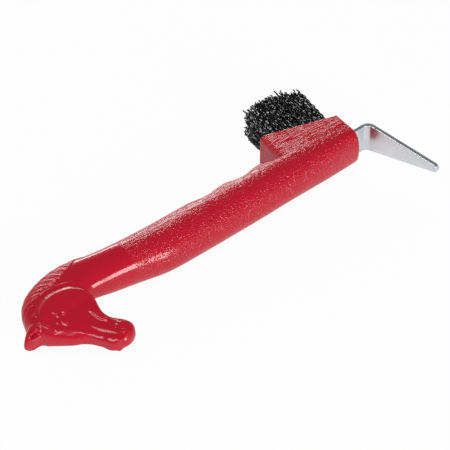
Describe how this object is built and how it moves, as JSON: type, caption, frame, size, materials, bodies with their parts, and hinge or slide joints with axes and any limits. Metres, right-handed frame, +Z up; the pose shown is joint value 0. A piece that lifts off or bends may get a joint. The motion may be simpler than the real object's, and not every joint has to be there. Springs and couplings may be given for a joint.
{
  "type": "hoof pick",
  "caption": "Hand tool for cleaning a horse's hooves: a moulded grip with a horse's head, a bent steel pick and a stiff brush block.",
  "frame": {"origin": "centre of the bounding box's base: the pick lies on its side, as in the picture", "axes": "+X along the grip towards the steel pick, +Y to the brush side, +Z up, across the handle's mirror plane"},
  "size_m": [0.2208, 0.0856, 0.0241],
  "materials": {
    "handle_plastic": "red moulded polypropylene: smooth and glossy on head and neck, grained on grip and block",
    "strip_steel": "zinc-plated steel strip, satin",
    "bristle_nylon": "stiff black crimped synthetic filament",
    "anchor_wire": "flat galvanised wire"
  },
  "bodies": {
    "root": {"handle": "handle_plastic", "pick_blade": "strip_steel", "bristle_row_1": "bristle_nylon", "bristle_row_2": "bristle_nylon", "bristle_row_3": "bristle_nylon", "bristle_row_4": "bristle_nylon", "tuft_anchor_1_1": "anchor_wire", "tuft_anchor_1_2": "anchor_wire", "tuft_anchor_1_3": "anchor_wire", "tuft_anchor_1_4": "anchor_wire", "tuft_anchor_1_5": "anchor_wire", "tuft_anchor_2_1": "anchor_wire", "tuft_anchor_2_2": "anchor_wire", "tuft_anchor_2_3": "anchor_wire", "tuft_anchor_2_4": "anchor_wire", "tuft_anchor_2_5": "anchor_wire", "tuft_anchor_3_1": "anchor_wire", "tuft_anchor_3_2": "anchor_wire", "tuft_anchor_3_3": "anchor_wire", "tuft_anchor_3_4": "anchor_wire", "tuft_anchor_3_5": "anchor_wire", "tuft_anchor_4_1": "anchor_wire", "tuft_anchor_4_2": "anchor_wire", "tuft_anchor_4_3": "anchor_wire", "tuft_anchor_4_4": "anchor_wire", "tuft_anchor_4_5": "anchor_wire"}
  },
  "joints": []
}
